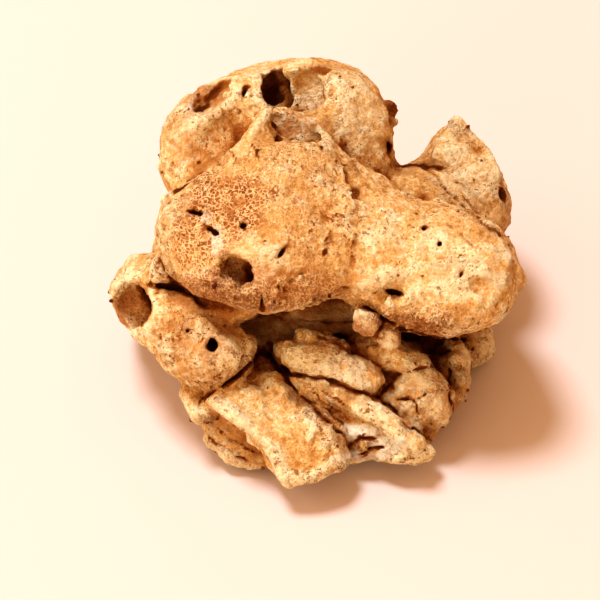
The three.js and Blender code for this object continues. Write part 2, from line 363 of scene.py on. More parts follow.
def nearestOf(spots, path):
    gaps = np.full(spots.shape[:-1], np.inf, np.float32)
    nearest = np.zeros(spots.shape[:-1], int)
    for number, place in enumerate(path):
        gap = np.linalg.norm(spots - place, axis=-1)
        closer = gap < gaps
        gaps[closer], nearest[closer] = gap[closer], number
    return gaps, nearest


def cellsAlong(path, reach, low, high):  # cells near the path, by their distance to the skin
    start = np.maximum(np.floor((path.min(0) - reach) / lumpSetup["step"]).astype(int) - lump.low, 0)
    stop = np.ceil((path.max(0) + reach) / lumpSetup["step"]).astype(int) - lump.low
    block = lump.field[tuple(slice(a, b) for a, b in zip(start, stop))]
    cells = np.argwhere((block > low) & (block < high)) + start
    return tuple(cells.T), lump.places(cells)


def raiseRidge(line, radius, out, seed):
    margin, join = ridgeSetup["margin"], ridgeSetup["join"]
    path, slopes = lineOnSkin(line)
    cells, spots = cellsAlong(path, radius + margin, -margin, radius + margin)
    gap, _ = nearestOf(spots, path + slopes * out)
    wobble = swirl(spots, ridgeSetup["wobbleSize"], ridgeSetup["seed"] + seed)
    gap = gap - radius * (1 + ridgeSetup["wobble"] * wobble)
    field = lump.field[cells]
    share = np.clip(0.5 + 0.5 * (field - gap) / join, 0, 1)  # a smooth join, so that no ridge lies loose
    lump.field[cells] = field * (1 - share) + gap * share - join * share * (1 - share)


def cleftShape(spots, path, cleft, seed):  # distance to the cleft's walls, and how far inward
    setup, depth = cleftSetup, cleft["depth"]
    amount, size, waverSeed = setup["waver"]
    wavy = wavered(spots, amount, size, waverSeed + seed)
    flat = wavy - (wavy @ viewBack)[..., None] * viewBack
    gap, nearest = nearestOf(flat, path - (path @ viewBack)[:, None] * viewBack)
    inward = (path @ viewBack)[nearest] - spots @ viewBack
    least, most = setup["wear"]
    worn = least + most * swirl(spots, setup["wearSize"], setup["wearSeed"] + seed)
    half = cleft["width"] * worn * np.clip(1 - inward / depth, 0, setup["flare"])
    return np.where((inward < depth) & (inward > -setup["above"]), gap - half, setup["outside"]), inward


def cutCleft(cleft, seed):
    path, _ = lineOnSkin(cleft["line"])
    under, over = cleftSetup["skinBand"]
    cells, spots = cellsAlong(path, cleft["depth"] + cleftSetup["above"], -cleft["depth"] - under, over)
    groove, _ = cleftShape(spots, path, cleft, seed)
    lump.field[cells] = np.maximum(lump.field[cells], -groove)
    return path


for number, ridge in enumerate(ridges.values()):
    raiseRidge(**ridge, seed=number)
points, quads = lump.skinMesh()
tree = skinTree(points, quads)
cleftPaths = [cutCleft(cleft, number) for number, cleft in enumerate(clefts.values())]
print("folds raised:", len(ridges), " clefts cut:", len(clefts))

# eaten hollows, pits and slots: pixel, half width and half height in pixels, turn in degrees, depth in
# millimetres, drift, how far the floor is carried right and up per millimetre of depth, rag, how uneven
# the rim is, edge, how square the walls are, soft, how round the rim is, and dark, the painted shade in its
# depth

hollows = dict(
    crownTrough=dict(at=(203, 150), size=(64, 21), turn=38, depth=3.2, rag=0.08, edge=2.0, soft=2.2,
                     dark=0),
    crownHole=dict(at=(280, 91), size=(19, 22), depth=7, drift=(-0.25, 0.1), rag=0.5, dark=0.35),
    crownBasin=dict(at=(304, 91), size=(22, 24), depth=3.0, rag=0.3, soft=0.5, dark=0.1),
    crownScar=dict(at=(318, 69), size=(17, 6), turn=-8, depth=0.8, rag=0.9, soft=0.3, dark=0.4),
    basinSlit=dict(at=(311, 77), size=(2.4, 6), turn=-25, depth=1.0, rag=0.5),
    basinSlitLow=dict(at=(318, 100), size=(2, 5), turn=-30, depth=1.0, rag=0.5),
    crownPitLong=dict(at=(211, 93), size=(22, 11), turn=32, depth=1.1, rag=0.5, soft=0.4, dark=0.1),
    crownPitLow=dict(at=(200, 105), size=(11, 7), turn=25, depth=1.4, rag=0.5, soft=0.3, dark=0.2),
    crownPitHigh=dict(at=(222, 84), size=(7, 4), turn=30, depth=1.6, rag=0.4, dark=0.4),
    crownNotch=dict(at=(245, 91), size=(3, 7), turn=-15, depth=1.4, rag=0.3),
    crownPore=dict(at=(388, 146), size=(3, 6), depth=2.2),
    browHollow=dict(at=(287, 123), size=(18, 14), turn=-60, depth=1.5, drift=(-0.3, 0), rag=0.5,
                    soft=0.3, dark=0.05),
    browHollowSide=dict(at=(306, 134), size=(19, 9), turn=-35, depth=1.3, rag=0.5, soft=0.5, dark=0.1),
    browHollowSlot=dict(at=(274, 121), size=(3, 7), turn=-10, depth=2.0, rag=0.4, dark=0.8),
    browHollowLow=dict(at=(278, 140), size=(4, 5), depth=1.6, rag=0.4, dark=0.7),
    browHole=dict(at=(238, 270), size=(18, 13), turn=-35, depth=2.0, drift=(0.4, -0.1), rag=0.35, dark=0),
    browHoleWall=dict(at=(247, 273), size=(6, 11), turn=15, depth=3.0, drift=(0.3, 0), rag=0.4, dark=0.6),
    browPit=dict(at=(243, 226), size=(4, 4), depth=1.8),
    browSlot=dict(at=(282, 252), size=(7, 2.6), turn=55, depth=1.8),
    browCutHigh=dict(at=(181, 187), size=(7, 3.4), turn=40, depth=1.6, rag=0.4),
    browCutMid=dict(at=(196, 213), size=(9, 3.4), turn=-10, depth=1.6, rag=0.4),
    browCutLow=dict(at=(214, 232), size=(8, 3.2), turn=-25, depth=1.4, rag=0.4),
    browDent=dict(at=(291, 291), size=(11, 8), turn=-15, depth=1.1, rag=0.7, soft=0.5, dark=0.15),
    browDentRight=dict(at=(322, 296), size=(8, 4), turn=10, depth=0.9, rag=0.8, soft=0.4, dark=0.15),
    browDentFar=dict(at=(344, 289), size=(6, 4), turn=25, depth=0.9, rag=0.8, soft=0.4, dark=0.2),
    browDentLeft=dict(at=(205, 284), size=(7, 4), turn=-25, depth=0.7, rag=0.8, soft=0.4, dark=0.1),
    browDentLow=dict(at=(262, 303), size=(2, 8), depth=1.0, rag=0.3),
    cheekHole=dict(at=(132, 307), size=(20, 24), turn=24, depth=3.6, drift=(0.25, 0), rag=0.3, dark=0.06),
    cheekHoleWall=dict(at=(143, 301), size=(7, 19), turn=24, depth=4.6, drift=(0.3, 0.1), rag=0.35,
                       soft=0.4, dark=0.7),
    cheekPore=dict(at=(212, 345), size=(6.5, 7.5), depth=4.5, rag=0.25),
    cheekSlope=dict(at=(232, 322), size=(32, 12), turn=-34, depth=2.0, rag=0.15, edge=2.0, soft=2.0,
                    dark=0.1),
    browCave=dict(at=(268, 330), size=(30, 10), turn=-12, depth=1.0, rag=0.3, edge=2.0, soft=1.2, dark=0),
    lipGap=dict(at=(408, 334), size=(20, 6), turn=-25, depth=2.6, rag=0.5, edge=2.0, soft=0.4, dark=0.6),
    lipCave=dict(at=(438, 351), size=(13, 5), turn=-8, depth=1.8, rag=0.6, edge=2.0, soft=0.5, dark=0.3),
    foldPit=dict(at=(340, 337), size=(9, 4), turn=-10, depth=1.5, rag=0.5, dark=0.6),
    foldPitLow=dict(at=(354, 350), size=(6, 6), depth=1.2, rag=0.6, soft=0.3, dark=0.4),
    cheekPit=dict(at=(187, 331), size=(2.4, 2.4), depth=1.2),
    blockGap=dict(at=(170, 287), size=(17, 4), turn=-8, depth=2.6, rag=0.35),
    lipSlot=dict(at=(393, 292), size=(11, 3.4), turn=-15, depth=2.2, rag=0.5),
    shoulderPitHigh=dict(at=(424, 229), size=(3.6, 2.6), depth=1.3),
    shoulderPitLow=dict(at=(440, 244), size=(3.4, 3), depth=1.5),
    shoulderDimple=dict(at=(482, 286), size=(14, 9), turn=-20, depth=0.7, edge=2.0, dark=0.1),
    shoulderSlit=dict(at=(461, 275), size=(1.8, 4), turn=-20, depth=1.0),
    earPit=dict(at=(502, 195), size=(4, 7), turn=10, depth=1.4),
    crownPitSlot=dict(at=(214, 93), size=(10, 3.4), turn=42, depth=1.6, rag=0.6, dark=0.7),
    crownPitSlotLow=dict(at=(202, 109), size=(9, 3), turn=24, depth=1.6, rag=0.6, dark=0.8),
)

hollowDefaults = dict(turn=0, drift=(0, 0), rag=0.12, edge=2.6, soft=0.15, dark=0.9)
hollows = {name: hollowDefaults | hollow for name, hollow in hollows.items()}
hollowSetup = dict(reach=1.6, margin=1.5, ragSize=0.8, finestRag=0.9, seed=60,
                   wallShade=(0.4, 0.1), depthShade=(0.1, 0.75))


def hollowShape(spots, centre, hollow, seed):  # distance to the hollow's wall, and how far down it is
    across, along = np.array(hollow["size"]) * pixelSize
    depth, drift, edge = hollow["depth"], hollow["drift"], hollow["edge"]
    offset = spots - centre
    inward = -(offset @ viewBack)
    right = offset @ viewRight - drift[0] * np.maximum(inward, 0)
    up = offset @ viewUp - drift[1] * np.maximum(inward, 0)
    angle = math.radians(hollow["turn"])
    u = (right * math.cos(angle) + up * math.sin(angle)) / across
    v = (up * math.cos(angle) - right * math.sin(angle)) / along
    ragSize = max(hollowSetup["finestRag"], min(across, along) * hollowSetup["ragSize"])
    ring = np.hypot(u, v) * (1 + hollow["rag"] * swirl(spots, ragSize, hollowSetup["seed"] + seed))
    below = np.clip(inward / depth, 0, None)
    return ((ring**edge + below**edge) ** (1 / edge) - 1) * min(across, along, depth), inward / depth


def hollowReach(hollow):
    widest = max(*np.array(hollow["size"]) * pixelSize, hollow["depth"])
    return widest * hollowSetup["reach"] + hollowSetup["margin"]


def carveHollow(hollow, seed):
    centre, _ = onSkin(hollow["at"])
    soft = hollow["soft"]
    block, spots = lump.window(centre, hollowReach(hollow))
    well, _ = hollowShape(spots, centre, hollow, seed)
    field = lump.field[block]
    share = np.clip(0.5 - 0.5 * (field + well) / soft, 0, 1)  # a rounded rim
    lump.field[block] = field * (1 - share) - well * share + soft * share * (1 - share)
    return centre


hollowCentres = [carveHollow(hollow, number) for number, hollow in enumerate(hollows.values())]
print("hollows carved:", len(hollows))

# crumbs of soil caught under the lip, and small raised lumps: pixel, and radius and how far they stand out
# in millimetres

crumbs = dict(
    crumbTop=dict(at=(366, 317), radius=1.9, out=0.5),
    crumbMid=dict(at=(375, 326), radius=1.4, out=0.5),
    crumbRight=dict(at=(391, 335), radius=1.5, out=0.5),
    crumbLow=dict(at=(384, 344), radius=0.8, out=0.4),
    lipLump=dict(at=(390, 303), radius=1.1, out=0.0),
    sideFlakeHigh=dict(at=(454, 358), radius=1.2, out=0.2),
    sideFlake=dict(at=(459, 377), radius=1.4, out=0.1),
    sideFlakeLow=dict(at=(457, 397), radius=1.3, out=0.2),
    crownFlake=dict(at=(389, 104), radius=1.7, out=0.1),
    crownFlakeLow=dict(at=(393, 116), radius=1.2, out=0.1),
)

crumbSetup = dict(sides=10, cut=(0.55, 1.0), reach=2, longest=1.2, wear=0.15, wearSize=0.9,
                  seed=500, wearSeed=90)


def addCrumb(at, radius, out, seed):  # an angular grain, cut by a few random planes
    setup = crumbSetup
    centre, normal = onSkin(at)
    block, spots = lump.window(centre, radius * setup["reach"])
    offset = spots - centre - out * normal
    draws = np.random.default_rng(setup["seed"] + seed)
    sides = draws.normal(size=(setup["sides"], 3))
    sides /= np.linalg.norm(sides, axis=1, keepdims=True)
    gap = np.max(offset @ sides.T - radius * draws.uniform(*setup["cut"], len(sides)), axis=-1)
    gap = np.maximum(gap, np.linalg.norm(offset, axis=-1) - setup["longest"] * radius)
    worn = gap + setup["wear"] * swirl(spots, setup["wearSize"], setup["wearSeed"] + seed)
    lump.field[block] = np.minimum(lump.field[block], worn)


for number, crumb in enumerate(crumbs.values()):
    addCrumb(**crumb, seed=number)

points, quads = lump.skinMesh()
tree = skinTree(points, quads)
print("skin meshed:", len(points), "points", len(quads), "faces")


def skinNormals(points, quads):
    a, b, c, d = (points[quads[:, k]] for k in range(4))
    faceNormals = np.cross(c - a, d - b)
    normals = np.zeros_like(points)
    for k in range(4):
        np.add.at(normals, quads[:, k], faceNormals)
    return normals / np.maximum(np.linalg.norm(normals, axis=1, keepdims=True), 1e-9)


# paint, a share from 0 to 1 of each finish at every point, and push, how far each point moves along its
# normal, in millimetres

paintNames = ("crackStainAndShade", "net", "paleAndLit", "rustAndShade", "flesh", "soilAndShade", "swarm", "cleft", "crestWearAndHighlight")
paint = {name: np.zeros(len(points)) for name in paintNames}
push = np.zeros(len(points))
normals = skinNormals(points, quads)
everywhere = slice(None)


def lay(name, near, shade):
    paint[name][near] = np.maximum(paint[name][near], shade)


def pointsAlong(path, margin):
    inside = (points > path.min(0) - margin) & (points < path.max(0) + margin)
    return np.nonzero(np.all(inside, axis=1))[0]


def paintCleft(path, cleft, seed):  # the groove's inside gets painted shade, and soil with some painted shade lies along it
    near = pointsAlong(path, cleftSetup["paintMargin"])
    groove, inward = cleftShape(points[near], path, cleft, seed)
    wallShade = cleft["dark"] * smoothStep(*cleftSetup["wallShade"], groove)
    # painted shade inside the groove, darker further in
    lay("crackStainAndShade", near, wallShade * smoothStep(*cleftSetup["depthShade"], inward))
    lay("soilAndShade", near, cleft["dark"] * smoothStep(*cleftSetup["soilShade"], groove))


def paintHollow(centre, hollow, seed):
    near = np.nonzero(np.linalg.norm(points - centre, axis=1) < hollowReach(hollow))[0]
    well, sunk = hollowShape(points[near], centre, hollow, seed)
    # painted shade: the hollow is painted darker towards its floor
    wallShade = hollow["dark"] * smoothStep(*hollowSetup["wallShade"], well)
    lay("crackStainAndShade", near, wallShade * smoothStep(*hollowSetup["depthShade"], sunk))


# shallow cracks, and veins that stand out instead: a line through pixels, with its half width and depth in
# millimetres, its strength and the paint it is given; in the cracks that dark paint is painted shade

cracks = dict(
    browCrackLeft=dict(line=((229, 150), (233, 155), (236, 161)), width=0.35, depth=0.6),
    browCrackRight=dict(line=((252, 145), (256, 151), (258, 158)), width=0.35, depth=0.6),
    browSlitLow=dict(line=((324, 241), (330, 232), (335, 224)), width=0.35, depth=0.5),
    sideSlit=dict(line=((353, 240), (351, 248), (352, 256)), width=0.35, depth=0.5),
    foldLineC=dict(line=((322, 391), (342, 402), (358, 414)), width=0.28, depth=0.35),
    crownVein=dict(line=((166, 142), (181, 152), (197, 167)), width=0.3, depth=-0.2, tint="flesh"),
    crownVeinCross=dict(line=((162, 169), (178, 164), (198, 158)), width=0.3, depth=-0.2, dark=0.9,
                        tint="flesh"),
    shoulderLedge=dict(line=((447, 226), (456, 232), (466, 242), (476, 250)), width=0.6, depth=0.5,
                       dark=0.4),
)

crackDefaults = dict(dark=1.0, tint="crackStainAndShade")
crackSetup = dict(margin=3, waver=(0.35, 1.3, 200), wear=(0.75, 0.45), wearSize=2.2, wearSeed=240,
                  wearLimits=(0.3, 1.2), steep=1.5, shade=(0.25, 0.85))


def cutCrack(line, width, depth, dark, tint, seed):
    setup = crackSetup
    path, _ = lineOnSkin(line)
    near = pointsAlong(path, setup["margin"])
    amount, size, waverSeed = setup["waver"]
    spots = wavered(points[near], amount, size, waverSeed + seed)
    gap = np.min(np.linalg.norm(spots[:, None] - path[None], axis=2), axis=1)
    least, most = setup["wear"]
    worn = least + most * swirl(points[near], setup["wearSize"], setup["wearSeed"] + seed)
    groove = np.clip(1 - gap / (2 * width), 0, 1) ** setup["steep"] * np.clip(worn, *setup["wearLimits"])
    push[near] -= depth * groove
    # painted shade in the crack's groove, or the given pale tint on veins
    lay(tint, near, dark * smoothStep(*setup["shade"], groove))


for number, (path, cleft) in enumerate(zip(cleftPaths, clefts.values())):
    paintCleft(path, cleft, number)
for number, (centre, hollow) in enumerate(zip(hollowCentres, hollows.values())):
    paintHollow(centre, hollow, number)
for number, crackStainAndShade in enumerate(cracks.values()):
    cutCrack(**(crackDefaults | crackStainAndShade), seed=number)
print("cracks cut:", len(cracks))

# stains, finishes, painted light and painted shade laid on by place: pixel, half width and half height in
# pixels, strength; pale patches are partly painted light on faces the lamps leave dim, and the rust and
# soil patches in the cave under the brow and on the crown's front face are painted shade

patches = dict(
    net=(((222, 208), (52, 46), 1.0), ((195, 242), (36, 36), 0.9), ((215, 285), (60, 28), 0.7),
         ((300, 292), (70, 22), 0.6), ((300, 215), (50, 70), 0.3), ((410, 320), (60, 16), 0.5),
         ((285, 160), (60, 26), 0.4)),
    paleAndLit=(((440, 265), (80, 55), 0.8), ((395, 235), (40, 60), 0.6), ((280, 410), (50, 45), 0.6),
          ((205, 200), (30, 12), 0.3), ((216, 238), (12, 22), 0.9), ((312, 95), (18, 26), 0.9),
          ((330, 365), (50, 22), 0.8), ((372, 322), (13, 12), 1.0), ((391, 337), (8, 9), 1.0),
          ((420, 398), (34, 30), 1.0), ((395, 355), (36, 18), 0.6), ((350, 400), (50, 20), 0.5),
          ((232, 445), (44, 34), 0.6), ((468, 172), (40, 46), 1.0), ((195, 142), (40, 34), 0.5),
          ((362, 118), (36, 44), 1.0), ((290, 180), (60, 40), 0.3), ((262, 334), (46, 20), 0.9),
          ((335, 318), (46, 16), 0.9), ((238, 270), (18, 14), 0.9), ((294, 128), (24, 16), 0.7),
          ((206, 97), (22, 12), 0.5)),
    rustAndShade=(((262, 330), (48, 26), 0.6), ((335, 318), (45, 18), 0.6), ((225, 210), (50, 40), 0.45),
          ((294, 128), (26, 18), 0.55), ((240, 272), (18, 15), 1.0), ((262, 365), (18, 16), 0.8),
          ((420, 400), (36, 32), 0.25), ((196, 345), (50, 45), 0.25), ((200, 130), (50, 40), 0.3),
          ((205, 98), (30, 16), 0.6), ((133, 307), (22, 26), 0.6), ((240, 290), (90, 26), 0.55),
          ((335, 360), (60, 22), 0.2), ((400, 330), (70, 16), 0.6), ((230, 445), (40, 40), 0.3)),
    crackStainAndShade=(((391, 108), (9, 17), 0.4),),
    swarm=(((411, 232), (11, 20), 1.0), ((405, 260), (9, 14), 1.0)),
    flesh=(((312, 95), (14, 22), 0.1), ((217, 240), (6, 17), 0.6), ((206, 218), (6, 8), 0.5),
           ((362, 432), (22, 9), 1.0), ((391, 443), (20, 9), 1.0), ((360, 456), (40, 5), 0.5),
           ((190, 108), (6, 5), 0.8)),
    soilAndShade=(((410, 336), (20, 12), 0.7), ((440, 350), (34, 20), 0.8), ((456, 380), (16, 36), 0.6),
          ((389, 105), (10, 20), 1.0), ((425, 405), (34, 30), 0.3), ((280, 374), (12, 10), 1.0),
          ((296, 396), (12, 10), 1.0), ((314, 414), (12, 9), 0.9), ((345, 396), (40, 7), 0.5),
          ((206, 97), (22, 12), 0.6), ((318, 69), (17, 7), 0.7), ((215, 290), (30, 13), 0.5),
          ((270, 303), (40, 9), 0.7), ((330, 301), (24, 9), 0.7), ((458, 130), (13, 16), 0.6),
          ((500, 190), (12, 34), 0.5), ((420, 324), (44, 9), 0.6), ((400, 168), (26, 10), 0.6),
          ((500, 268), (16, 26), 0.4), ((262, 366), (22, 14), 0.9), ((262, 334), (44, 20), 0.4),
          ((335, 320), (44, 16), 0.3), ((133, 307), (20, 24), 0.4), ((238, 270), (17, 13), 0.7),
          ((345, 345), (30, 8), 0.7)),
)

patchSetup = dict(fade=(1.15, 0.6), rag=0.35, ragSize=0.6, seed=300)


def layPatch(name, at, size, strength, seed):
    centre, _ = onSkin(at)
    offset = points - centre
    across, along = np.array(size) * pixelSize
    depth = max(across, along)
    ring = np.sqrt((offset @ viewRight / across) ** 2 + (offset @ viewUp / along) ** 2
                   + (offset @ viewBack / depth) ** 2)
    ring += patchSetup["rag"] * layered(points, depth * patchSetup["ragSize"], patchSetup["seed"] + seed)
    lay(name, everywhere, strength * smoothStep(*patchSetup["fade"], ring))


for name, spots in patches.items():
    for number, spot in enumerate(spots):
        layPatch(name, *spot, seed=number)
print("patches laid:", ", ".join(patches))

# fine relief: raised net round sunken cells, wrinkles, grain and pores, as sizes and heights in millimetres

reliefSetup = dict(bend=(0.4, 1.6, 400), cell=1.1, cellSeed=410, netWall=(0.34, 0.05), netHeight=0.2,
                   wrinkle=(1.4, 0.12), wrinkleSeed=420, grain=(0.7, 0.06), grainSeed=430, shrink=0.08,
                   poreCell=2.3, poreSeed=440, poreShare=0.3, poreSize=(0.22, 0.9), poreEdge=(1.0, 0.35),
                   poreDepth=0.45)

# painted shade and highlight: widths of the blur that finds hollows and crests, and how strongly each finds
# hollows
shadeAndHighlightSetup = dict(blurs=((0.7, 0.5), (2.0, 0.75)), cleft=(-0.05, -0.34), crestWearAndHighlight=(0.16, 0.42))


def paintCurveShade():  # painted shade in clefts and pits, where shade falls; crests lighter, partly wear and partly painted highlight
    for width, share in shadeAndHighlightSetup["blurs"]:
        bulge = lump.sample(lump.blurred(width), points) / width
        # cleft is painted shade in the hollows; the crest mask lightens crests, wear and painted highlight
        lay("cleft", everywhere, share * smoothStep(*shadeAndHighlightSetup["cleft"], bulge))
        lay("crestWearAndHighlight", everywhere, smoothStep(*shadeAndHighlightSetup["crestWearAndHighlight"], bulge))


def raiseRelief():
    setup = reliefSetup
    bent = wavered(points, *setup["bend"])
    wall, _, _ = cellEdges(bent, setup["cell"], setup["cellSeed"])
    ridge = smoothStep(*setup["netWall"], wall)
    size, height = setup["wrinkle"]
    wrinkle = 1 - 2 * np.abs(swirl(points, size, setup["wrinkleSeed"]))
    grainSize, grainHeight = setup["grain"]
    grain = grainHeight * swirl(points, grainSize, setup["grainSeed"])
    _, middle, owner = cellEdges(bent, setup["poreCell"], setup["poreSeed"])
    least, more = setup["poreSize"]
    pore = (owner < setup["poreShare"]) * smoothStep(*setup["poreEdge"], middle / (least + more * owner))
    # pores are painted dark: painted shade in their dents
    lay("crackStainAndShade", everywhere, pore)
    return (paint["net"] * setup["netHeight"] * (ridge - 0.5) + height * (wrinkle - 0.5)
            + grain - setup["poreDepth"] * pore - setup["shrink"])


paintCurveShade()
push += raiseRelief()


def buildTruffle():
    moved = points + normals * push[:, None]
    moved[:, 2] = np.maximum(moved[:, 2], lump.floor)
    mesh = bpy.data.meshes.new("truffle_skin")
    mesh.from_pydata((moved * mm).tolist(), [], quads.tolist())
    mesh.polygons.foreach_set("use_smooth", np.ones(len(quads), bool))
    for name, values in paint.items():
        layer = mesh.attributes.new(name, "FLOAT", "POINT")
        layer.data.foreach_set("value", values.astype(np.float32))
    mesh.update()
    skin = bpy.data.objects.new("truffle_skin", mesh)
    bpy.context.scene.collection.objects.link(skin)
    return skin


truffleSkin = buildTruffle()
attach(truffleSkin, "root")
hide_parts("truffle")
print("truffle skin built:", len(quads), "faces")


# shader maths

def plug(tree, slot, value):
    if isinstance(value, Wire):
        tree.links.new(value.socket, slot)
    else:
        slot.default_value = value


class Wire:
    def __init__(self, tree, socket):
        self.tree, self.socket = tree, socket

    def math(self, operation, *values):
        node = self.tree.nodes.new("ShaderNodeMath")
        node.operation = operation
        for slot, value in zip(node.inputs, values):
            plug(self.tree, slot, value)
        return Wire(self.tree, node.outputs[0])

    def __add__(self, other):
        return self.math("ADD", self, other)

    def __radd__(self, other):
        return self.math("ADD", other, self)

    def __sub__(self, other):
        return self.math("SUBTRACT", self, other)

    def __rsub__(self, other):
        return self.math("SUBTRACT", other, self)

    def __mul__(self, other):
        return self.math("MULTIPLY", self, other)

    def __rmul__(self, other):
        return self.math("MULTIPLY", other, self)


# sockets that are taken by number, because several on a node share a name or only one is used
socketOf = dict(objectPlace=3, attributeShare=2, noiseColour=1,
                mixShare=0, mixUnder=6, mixOver=7, mixColour=2)


class Finish:
    def __init__(self, name):
        self.material = bpy.data.materials.new(name)
        self.material.use_nodes = True
        self.tree = self.material.node_tree
        self.tree.nodes.clear()

    def node(self, kind, settings, sockets, output=0):
        node = self.tree.nodes.new(kind)
        for name, value in settings.items():
            setattr(node, name, value)
        for key, value in sockets.items():
            plug(self.tree, node.inputs[key], value)
        return Wire(self.tree, node.outputs[output])

    def place(self):
        return self.node("ShaderNodeTexCoord", {}, {}, socketOf["objectPlace"])

    def attribute(self, name):
        return self.node("ShaderNodeAttribute", dict(attribute_name=name), {}, socketOf["attributeShare"])

    def noise(self, place, scale, detail, rough):
        sockets = {"Vector": place, "Scale": scale, "Detail": detail, "Roughness": rough}
        return self.node("ShaderNodeTexNoise", {}, sockets)

    def cells(self, place, scale, feature):
        return self.node("ShaderNodeTexVoronoi", dict(feature=feature), {"Vector": place, "Scale": scale})

    def bent(self, place, scale, detail, amount):  # the place pushed about by noise
        noise = self.node("ShaderNodeTexNoise", {}, {"Vector": place, "Scale": scale, "Detail": detail},
                          socketOf["noiseColour"])
        shift = self.node("ShaderNodeVectorMath", dict(operation="SCALE"), {0: noise, "Scale": amount})
        return self.node("ShaderNodeVectorMath", dict(operation="ADD"), {0: place, 1: shift})

    def steps(self, value, low, high):
        sockets = {"Value": value, "From Min": low, "From Max": high}
        return self.node("ShaderNodeMapRange", dict(interpolation_type="SMOOTHSTEP"), sockets)

    def blend(self, share, under, over):
        sockets = {socketOf["mixShare"]: share, socketOf["mixUnder"]: under, socketOf["mixOver"]: over}
        settings = dict(data_type="RGBA", blend_type="MIX", clamp_factor=True)
        return self.node("ShaderNodeMix", settings, sockets, socketOf["mixColour"])

    def surface(self, shader):
        out = self.tree.nodes.new("ShaderNodeOutputMaterial")
        self.tree.links.new(shader.socket, out.inputs["Surface"])
        return self.material


skinColours = dict(
    deep=(0.42, 0.16, 0.035, 1), mid=(0.69, 0.40, 0.16, 1), light=(0.92, 0.63, 0.32, 1),
    cream=(1.0, 0.89, 0.66, 1), rustAndShade=(0.54, 0.22, 0.074, 1), crackStainAndShade=(0.21, 0.075, 0.018, 1),
    soilAndShade=(0.36, 0.17, 0.06, 1), flesh=(1.0, 0.96, 0.88, 1), freckle=(0.76, 0.42, 0.17, 1),
    net=(1.0, 0.78, 0.49, 1), pink=(0.85, 0.51, 0.3, 1), fleck=(0.41, 0.14, 0.02, 1),
    brown=(0.55, 0.29, 0.085, 1),
)

# noise of the skin's marks: scale per metre, detail and roughness
skinNoise = dict(
    broad=(85, 4, 0.55), blotch=(300, 4, 0.6), fine=(1100, 4, 0.65), dust=(2600, 4, 0.75),
    stain=(640, 7, 0.74), freckle=(620, 3, 0.6), lineGap=(480, 3, 0.55), fleck=(1250, 4, 0.7),
    speck=(800, 5, 0.7), swarm=(170, 3, 0.55),
)

# where each mark starts and is full
skinSteps = dict(
    light=(0.42, 0.51), cream=(0.49, 0.58), stain=(0.51, 0.61), freckle=(0.58, 0.68), worn=(0.60, 0.42),
    pinkGrit=(0.52, 0.47), deepGrit=(0.52, 0.57), torn=(0.39, 0.51), netCell=(0.14, 0.28),
    netLine=(0.20, 0.10), lineGap=(0.38, 0.52), patchy=(0.46, 0.58), fleck=(0.60, 0.635),
    speck=(0.57, 0.63), swarm=(0.54, 0.66), pinhole=(0.50, 0.36), soilGrit=(0.44, 0.54),
    flesh=(0.30, 0.50), shadeGrimeGrit=(0.42, 0.66), shadeAndGrime=(0.0, 0.5), black=(0.35, 0.95),
)

skinSetup = dict(bend=(800, 3, 0.0016), netScale=1450, pinholeScale=1150, bump=0.003, gamma=1.35,
                 roughness=(0.7, 0.25), specular=0.06)


